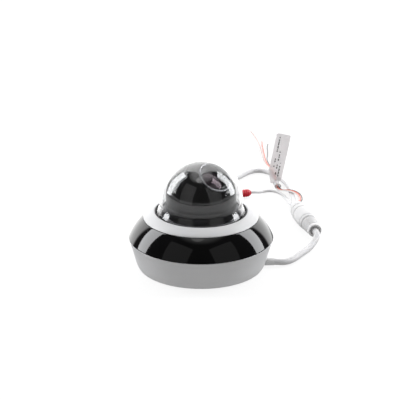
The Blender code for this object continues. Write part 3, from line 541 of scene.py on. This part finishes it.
bm = bmesh.new()
heights = list(np.linspace(0.2, L - 1.8, 56)) + [L - 1.2, L - 0.7, L - 0.3, L - 0.08]
across = np.linspace(0, 1, 15)
sheets = []
for lift in (0.05, 0.5):
    rows = []
    for u in heights:
        a0, a1 = tag_edges(u)
        rows.append([bm.verts.new((a0 + (a1 - a0) * t, u, lift + bend(a0 + (a1 - a0) * t, u))) for t in across])
    sheets.append(rows)
for rows in sheets:
    for r0, r1 in zip(rows, rows[1:]):
        for k in range(len(across) - 1):
            bm.faces.new((r0[k], r0[k + 1], r1[k + 1], r1[k]))
rim = [sheets[0][0], sheets[1][0]], [sheets[0][-1], sheets[1][-1]]
for a, b in rim:
    for k in range(len(across) - 1):
        bm.faces.new((a[k], a[k + 1], b[k + 1], b[k]))
for side in (0, -1):
    for i in range(len(heights) - 1):
        bm.faces.new((sheets[0][i][side], sheets[0][i + 1][side], sheets[1][i + 1][side], sheets[1][i][side]))
tag = solid("flag_strip", bm, LABEL, TAG, 30)
keep(tag, "root", "label_white", "label_tag")

bars = []
rng = np.random.default_rng(7)
for column, (start, stop) in ((-4.2, (16, 56)), (-0.6, (8, 40)), (2.6, (5, 26))):
    u = start
    while u < stop:
        size = float(rng.uniform(1.0, 3.2))
        if rng.random() < 0.72:
            bar = box_bm((column, u, 0.0), (column + 1.25, min(stop, u + size), 0.05))
            for v in bar.verts:
                v.co.z += 0.47 + bend(v.co.x, v.co.y)
            bars.append(bar)
        u += size + float(rng.uniform(0.5, 1.8))
marks = joined("flag_marks", bars, INK)
marks.data.transform(Matrix.Scale(1 / MM, 4))
marks.data.transform(TAG)
marks.data.transform(Matrix.Scale(MM, 4))
keep(marks, "root", "label_white")

# the clear wrap that holds the strip's foot to the wires
ends = [Vector((89.6, 216.0, 2.6)), Vector((87.9, 230.0, 2.6))]
wrap_l = (ends[1] - ends[0]).length
wrap = spun(eased([(3.5, 0.0), (3.8, 0.0), (3.9, wrap_l * 0.5), (3.8, wrap_l), (3.5, wrap_l), (3.6, wrap_l * 0.5)], 0.1), 48, lambda a, r, z: -0.75 * math.sin(a) ** 2 + 0.12 * math.cos(5 * a + z * 0.5))
wrap = solid("label_wrap", wrap, FILM, towards(*ends), 60)
low = min(v.co.z for v in wrap.data.vertices)
if low < 0.0002:
    wrap.data.transform(Matrix.Translation((0, 0, 0.0002 - low)))
keep(wrap, "root", "label_white")

# ================================================================ fixed body
HOUSING = [(72.9, 31.0), (73.2, 30.7), (71.8, 27.0), (70.6, 23.0), (69.0, 17.5), (66.5, 7.5), (64.6, 2.6), (63.6, 0.9), (62.6, 0.3),
           (61.4, 0.3), (61.8, 3.0), (63.9, 7.8), (66.3, 17.9), (68.5, 27.0), (68.9, 31.0)]
housing = solid("skirt_shell", spun(eased(HOUSING, 0.9, 4, 2.0), 160), WHITE)
bosses = []
for az in (30, 150, 270):
    x, y = polar(56.0, az)
    rib = box_bm((56, -2.2, 8.0), (65.6, 2.2, 12.4))
    bmesh.ops.rotate(rib, cent=(0, 0, 0), matrix=Matrix.Rotation(math.radians(az), 3, "Z"), verts=rib.verts)
    bosses += [rib, rod_bm(3.6, 3.3, 13.3, 40, x, y)]
carve(housing, bosses, "UNION")
holes = [rod_bm(1.6, 2.0, 11.5, 24, *polar(56.0, az)) for az in (30, 150, 270)]
arch = [(4.3 * math.cos(math.radians(a)), GLAND_Z + 4.3 * math.sin(math.radians(a))) for a in range(0, 181, 6)]
notch = extruded([(4.3, -2.0)] + arch + [(-4.3, -2.0)], 58.0, 74.0)
bmesh.ops.transform(notch, matrix=Matrix(((0, 0, 1, 0), (1, 0, 0, 0), (0, 1, 0, 0), (0, 0, 0, 1))), verts=notch.verts)
bmesh.ops.rotate(notch, cent=(0, 0, 0), matrix=Matrix.Rotation(math.radians(GLAND_AZ), 3, "Z"), verts=notch.verts)
carve(housing, holes + [notch])
keep(housing, "root", "white_shell", "lower_housing")

window = bowed((73.2, 31.3), (57.9, 52.1), 1.3, 22)[::-1] + bowed((70.9, 31.3), (55.9, 52.1), 1.0, 12)
keep(solid("dark_window", spun(eased(window, 0.35, 3, 25), 160), BAND), "root", "ir_black", "ir_window")

RING = [(46.5, 58.55), (48.6, 58.3), (51.8, 57.1), (55.4, 55.0), (57.3, 53.6), (58.0, 52.8), (57.9, 52.4), (55.8, 52.4), (53.4, 54.2), (49.7, 56.7), (46.5, 56.7)]
keep(solid("top_ring", spun(eased(RING, 1.1, 5, 2.0), 160), WHITE), "root", "white_shell", "trim_ring")
keep(solid("seal_ring", spun(eased([(45.2, 58.75), (46.3, 58.75), (46.3, 56.7), (45.2, 56.7)], 0.4, 4), 160), RUBBER), "root", "gasket_rubber", "dome_gasket")

half = math.degrees(math.asin((65.4 - 71.1) / 42.0))
half_in = math.degrees(math.asin((65.4 - 71.1) / 40.0))
skirt_out = [(42.5, 62.9), (43.6, 60.4), (45.0, 58.2), (45.0, 56.3), (48.6, 56.3), (48.6, 54.5)]
skirt_in = [(42.6, 54.5), (42.6, 58.2), (41.4, 60.6), (40.4, 63.0)]
dome = [(0, 113.1)] + arc(0, 71.1, 42.0, 90, half, 44)[1:] + eased([arc(0, 71.1, 42.0, 90, half, 44)[-1]] + skirt_out + skirt_in + [arc(0, 71.1, 40.0, half_in, 90, 42)[0]], 1.2, 4, 3)[4:-4]
dome += arc(0, 71.1, 40.0, half_in, 90, 42)[:-1] + [(0, 111.1)]
keep(solid("clear_cover", spun(dome, 144), CLEAR, sharp=50), "root", "clear_dome", "dome_cover")

LINING = [(42.2, 57.6), (40.3, 55.4), (38.6, 50.5), (37.2, 45.0), (31.2, 43.4), (31.2, 42.0), (38.6, 43.4), (39.9, 49.8), (41.2, 53.3), (47.8, 53.3), (47.8, 54.2), (42.2, 54.2)]
# the lining's grey colour is painted shade for the inside of the well
keep(solid("well_lining", spun(eased(LINING, 0.7, 4, 4), 128), LINER_PAINTED_SHADE), "root", "liner_grey", "inner_liner")

plate = solid("base_disc", spun(eased([(0, 3.0), (60.9, 3.0), (60.9, 0.6), (60.3, 0), (0, 0)], 0.35), 158), ALU, Matrix.Rotation(0.021, 4, "Z"))
tools = []
for az in (30, 150, 270):
    x, y = polar(56.0, az)
    tools += [rod_bm(3.3, -1, 2.2, 40, x, y), rod_bm(1.6, 1, 4, 24, x, y)]
tools += [rod_bm(2.3, -1, 4, 32, *polar(46.0, az)) for az in (90, 210, 330)]
groove = spun([(49.5, 0.25), (51.0, 0.25), (51.0, -1.0), (49.5, -1.0)], 128)
web = [spun([(14.0, 0.35), (32.0, 0.35), (32.0, -1.0), (14.0, -1.0)], 96)]
carve(plate, tools + [groove] + web)
carve(plate, [rod_bm(2.4, 2.5, 6.7, 32, *polar(40.0, az)) for az in (45, 135, 225, 315)], "UNION")
keep(plate, "root", "cast_aluminium", "base_plate")

for i, az in enumerate((30, 150, 270)):
    x, y = polar(56.0, az)
    thread = [(1.25 - (0.22 if k % 2 else 0.0), 10.3 - 0.4 * k) for k in range(20)]
    screw = spun([(0, 10.5)] + thread + [(1.2, 1.95), (2.7, 1.9), (2.9, 1.7), (2.85, 0.9), (2.3, 0.55), (1.4, 0.5), (0, 0.5)], 36)
    bmesh.ops.translate(screw, vec=(x, y, 0), verts=screw.verts)
    screw = solid(f"housing_screw_{i + 1}", screw, STEEL)
    carve(screw, [box_bm((x - 1.5, y - 0.28, 0.2), (x + 1.5, y + 0.28, 1.4)), box_bm((x - 0.28, y - 1.5, 0.2), (x + 0.28, y + 1.5, 1.4))])
    keep(screw, "root", "steel", f"base_screw_{i + 1}")

bellows = eased([(0, 73.0), (3.36, 73.0), (3.36, 74.5), (3.62, 74.5), (3.8, 69.5), (4.0, 66.0), (4.0, 62.2), (0, 62.2)], 0.3, 4)
gland = spun(bellows, 48)
turn = Matrix.Rotation(math.radians(GLAND_AZ), 4, "Z") @ Matrix.Translation((0, 0, GLAND_Z)) @ Matrix.Rotation(math.pi / 2, 4, "Y")
keep(solid("cable_boot", gland, MOULD, turn, 50), "root", "cable_white", "cable_gland")

# ================================================================ pan group
CUP_OUT = [(35.95, 67.4), (35.9, 65.5), (35.0, 59.8), (32.9, 53.0), (29.6, 46.0), (27.0, 40.0), (25.6, 35.9)]
CUP_IN = [(6.0, 35.9), (6.0, 37.1), (24.6, 37.1), (26.1, 41.0), (28.2, 46.0), (31.4, 52.8), (33.8, 59.0), (35.05, 64.5), (35.3, 67.4)]
keep(solid("swivel_cup", spun(eased(CUP_OUT + CUP_IN, 1.4, 5, 2), 144), CUP), "pan_group", "dark_matte", "pan_cup")

# ================================================================ tilt group, about the eyeball's centre
PAN, BALL_Z, BALL_R, INNER_R = 46.0, 73.3, 35.4, 33.6
EYE = Matrix.Rotation(math.radians(PAN), 4, "Z") @ Matrix.Translation((0, 0, BALL_Z)) @ Matrix.Rotation(math.radians(37.6), 4, "X")
open_r = 17.65
a_top, a_in = math.degrees(math.acos(open_r / BALL_R)), math.degrees(math.acos(open_r / INNER_R))
b_out, b_in = math.degrees(math.asin(0.15 / BALL_R)), math.degrees(math.asin(0.15 / INNER_R))
front = spun(eased(arc(0, 0, BALL_R, a_top, b_out, 40) + arc(0, 0, INNER_R, b_in, a_in, 28), 0.22, 3, 30), 160)
front = solid("eye_front", front, BALL, sharp=45)
PORT = Vector((-0.002, -0.565, 0.825)).normalized()


def at_port(bm):
    bmesh.ops.transform(bm, matrix=towards((0, 0, 0), PORT), verts=bm.verts)
    return bm


carve(front, [at_port(rod_bm(1.5, 34.2, 37.0, 32))], sharp=45)
front.data.transform(Matrix.Scale(1 / MM, 4))
front.data.transform(EYE)
front.data.transform(Matrix.Scale(MM, 4))
keep(front, "eyeball", "ball_black", "ball_shell_front")
port = at_port(spun(eased([(0, 34.35), (0.75, 34.35), (0.9, 34.9), (1.1, 35.45), (1.42, 35.5), (1.42, 34.3), (0, 34.3)][::1], 0.1), 40))
keep(solid("eye_port", port, BEZEL, EYE), "eyeball", "ball_black")

rear = spun(eased(arc(0, 0, BALL_R, -b_out, -90, 44)[:-1] + [(0, -BALL_R), (0, -INNER_R)] + arc(0, 0, INNER_R, -90, -b_in, 30)[1:], 0.22, 3, 30), 160)
rear = solid("eye_rear", rear, BALL, sharp=45)
sector = [(0.0, 0.0)] + [(-60 * math.sin(math.radians(a)), 60 * math.cos(math.radians(a))) for a in np.linspace(99.5, 192.5, 5)]
way = extruded(sector, -27.0, 27.0)
bmesh.ops.transform(way, matrix=Matrix(((0, 0, 1, 0), (1, 0, 0, 0), (0, 1, 0, 0), (0, 0, 0, 1))), verts=way.verts)
carve(rear, [way], sharp=45)
rear.data.transform(Matrix.Scale(1 / MM, 4))
rear.data.transform(EYE)
rear.data.transform(Matrix.Scale(MM, 4))
keep(rear, "eyeball", "ball_black", "ball_shell_rear")

bezel = [(15.3, 31.0), (15.75, 31.55), (16.3, 31.9), (16.75, 31.85), (17.15, 31.5), (17.3, 31.0), (17.3, 28.4), (15.3, 28.4)]
keep(solid("eye_ring", spun(eased(bezel, 0.18, 3), 128), BEZEL, EYE), "eyeball", "ball_black", "lens_bezel")
steps = [(12.0, 28.0)]
for k in range(6):
    r, z = 12.0 + 0.5 * (k + 1), 28.0 + 2.0 * k / 6
    steps += [(r - 0.12, z), (r - 0.04, z + 0.10), (r, z + 2.0 / 6)]
steps += [(15.0, 30.0), (15.0, 26.6), (12.0, 26.6)]
keep(solid("light_baffle", spun(steps, 112), DARK, EYE, 25), "eyeball", "dark_matte", "lens_baffle")
lens = [(0, 27.9)] + [(11.4 * t, 27.9 - 1.9 * t**2) for t in np.linspace(0.06, 1.0, 18)] + [(11.4, 24.8), (0, 24.8)]
keep(solid("front_lens", spun(lens, 96), LENS, EYE), "eyeball", "lens_glass", "lens_front_glass")
tube = eased([(11.8, 26.3), (13.6, 26.3), (13.6, 18.3), (0, 18.3), (0, 20.0), (11.8, 20.0)], 0.25)
keep(solid("lens_tube", spun(tube, 96), DARK, EYE), "eyeball", "dark_matte", "lens_barrel")
iris = eased([(4.6, 21.3), (5.0, 21.9), (11.6, 22.6), (11.6, 21.9), (5.2, 21.0)], 0.15)
keep(solid("lens_iris", spun(iris, 96), DARK, EYE), "eyeball", "dark_matte")
element = [(0, 23.4)] + [(7.4 * t, 23.4 - 1.1 * t**2) for t in np.linspace(0.08, 1.0, 14)] + [(7.4, 22.45), (0, 22.2)]
keep(solid("lens_element", spun(element, 72), INNER_LENS, EYE), "eyeball", "lens_glass")

# ================================================================ CAD pieces that stay, with finished surfaces
FINISH = {
    "chassis": ALU, "main_board": BOARD, "heat_sink": ALU, "ir_led_board": BOARD, "pan_motor": STEEL, "pan_belt": RUBBER,
    "pan_bearing_outer": STEEL, "pan_bearing_inner": STEEL, "pan_motor_pulley": ALU, "pan_platform": DARK, "yoke_left": STEEL,
    "yoke_right": STEEL, "tilt_motor": STEEL, "tilt_motor_bracket": STEEL, "tilt_belt": RUBBER, "tilt_motor_pulley": ALU,
    "camera_block": DARK, "sensor_board": BOARD, "tilt_pulley": ALU, "trunnion_left": STEEL, "trunnion_right": STEEL,
}
for name, obj in NODES.items():
    if name in COVERED:
        continue
    mat = FINISH[name]
    if not obj.material_slots:
        obj.data.materials.append(mat)
    for material_slot in obj.material_slots:
        material_slot.material = mat

# ================================================================ floor, light
floor_mat = surface("pale_floor", (0.16, 0.16, 0.16), 0.75, specular=0.1, vary=0.004, vary_scale=3, grain=0.03, grain_scale=300)
bsdf = floor_mat.node_tree.nodes["Principled BSDF"]
bsdf.inputs["Emission Color"].default_value = (1, 1, 1, 1)
bsdf.inputs["Emission Strength"].default_value = 0.85
bm = bmesh.new()
bmesh.ops.create_grid(bm, x_segments=2, y_segments=2, size=5000.0)
floor = solid("floor", bm, floor_mat)
floor.location.z = -0.0004
floor.visible_diffuse = False
floor.visible_glossy = False


def softbox(name, azimuth, elevation, distance, width, height, radiance, roll=0.0, disc=False, color=(1, 1, 1)):
    """An area light seen from the object at this azimuth (degrees from the front towards +X) and elevation."""
    az, el = math.radians(azimuth), math.radians(elevation)
    aim = Vector((math.cos(el) * math.sin(az), -math.cos(el) * math.cos(az), math.sin(el)))
    light = bpy.data.lights.new(name, "AREA")
    light.shape = "ELLIPSE" if disc else "RECTANGLE"
    light.size, light.size_y = width, height
    area = width * height * (math.pi / 4 if disc else 1.0)
    light.energy = radiance * area * 4.0
    light.color = color
    obj = bpy.data.objects.new(name, light)
    ROOM.objects.link(obj)
    back = aim.to_track_quat("Z", "Y").to_matrix().to_4x4()
    obj.matrix_world = Matrix.Translation(Vector((0, 0, 0.06)) + aim * distance) @ back @ Matrix.Rotation(math.radians(roll), 4, "Z")
    return obj


for sign in (-1, 1):
    softbox(f"strip_{'left' if sign < 0 else 'right'}", sign * 107.0, 28.0, 1.6, 0.58, 1.5, 6.0, roll=sign * -12.0, color=(0.97, 0.98, 1.0))
    softbox(f"panel_{'left' if sign < 0 else 'right'}", sign * 43.0, 27.0, 1.7, 1.15, 1.6, 0.19)
softbox("octa", -13.0, 72.0, 1.8, 0.5, 0.5, 0.8, disc=True)

world = bpy.data.worlds.new("studio")
SCENE.world = world
world.use_nodes = True
tree = world.node_tree
background = tree.nodes["Background"]
direction = tree.nodes.new("ShaderNodeTexCoord").outputs["Generated"]
split = tree.nodes.new("ShaderNodeSeparateXYZ")
tree.links.new(direction, split.inputs[0])


def math_node(operation, a, b=None):
    n = tree.nodes.new("ShaderNodeMath")
    n.operation = operation
    for socket, value in zip(n.inputs, (a, b)):
        if value is None:
            continue
        if isinstance(value, (int, float)):
            socket.default_value = value
        else:
            tree.links.new(value, socket)
    return n.outputs[0]


def step(value, low, high, least, most):
    n = tree.nodes.new("ShaderNodeMapRange")
    n.interpolation_type = "SMOOTHSTEP"
    n.inputs["From Min"].default_value = low
    n.inputs["From Max"].default_value = high
    n.inputs["To Min"].default_value = least
    n.inputs["To Max"].default_value = most
    tree.links.new(value, n.inputs["Value"])
    return n.outputs["Result"]


x, y, z = split.outputs
flat = math_node("SQRT", math_node("ADD", math_node("MULTIPLY", x, x), math_node("MULTIPLY", y, y)))
behind = step(math_node("DIVIDE", y, flat), 0.58, 0.66, 0.0, 1.0)
overhead = step(z, 0.86, 0.97, 0.0, 0.95)
above_floor = step(z, -0.03, 0.01, 0.0, 1.0)
bounce = math_node("MULTIPLY", step(z, -0.70, -0.02, 0.28, 1.25), math_node("SUBTRACT", 1.0, above_floor))
lit = math_node("ADD", math_node("MAXIMUM", math_node("MULTIPLY", math_node("MULTIPLY", behind, 1.3), above_floor), overhead), bounce)
mirrored = math_node("MAXIMUM", math_node("MULTIPLY", math_node("MULTIPLY", behind, 2.3), step(z, -0.55, -0.25, 0.0, 1.0)), overhead)
rays = tree.nodes.new("ShaderNodeLightPath").outputs
shiny = rays["Is Glossy Ray"]
glow = math_node("ADD", math_node("ADD", math_node("MULTIPLY", lit, math_node("SUBTRACT", 1.0, shiny)), math_node("MULTIPLY", mirrored, shiny)), 0.06)
seen = rays["Is Camera Ray"]
tree.links.new(math_node("MAXIMUM", glow, seen), background.inputs["Strength"])
background.inputs["Color"].default_value = (1.0, 1.0, 1.0, 1.0)

SCENE.view_settings.view_transform = "Standard"
SCENE.view_settings.look = "None"
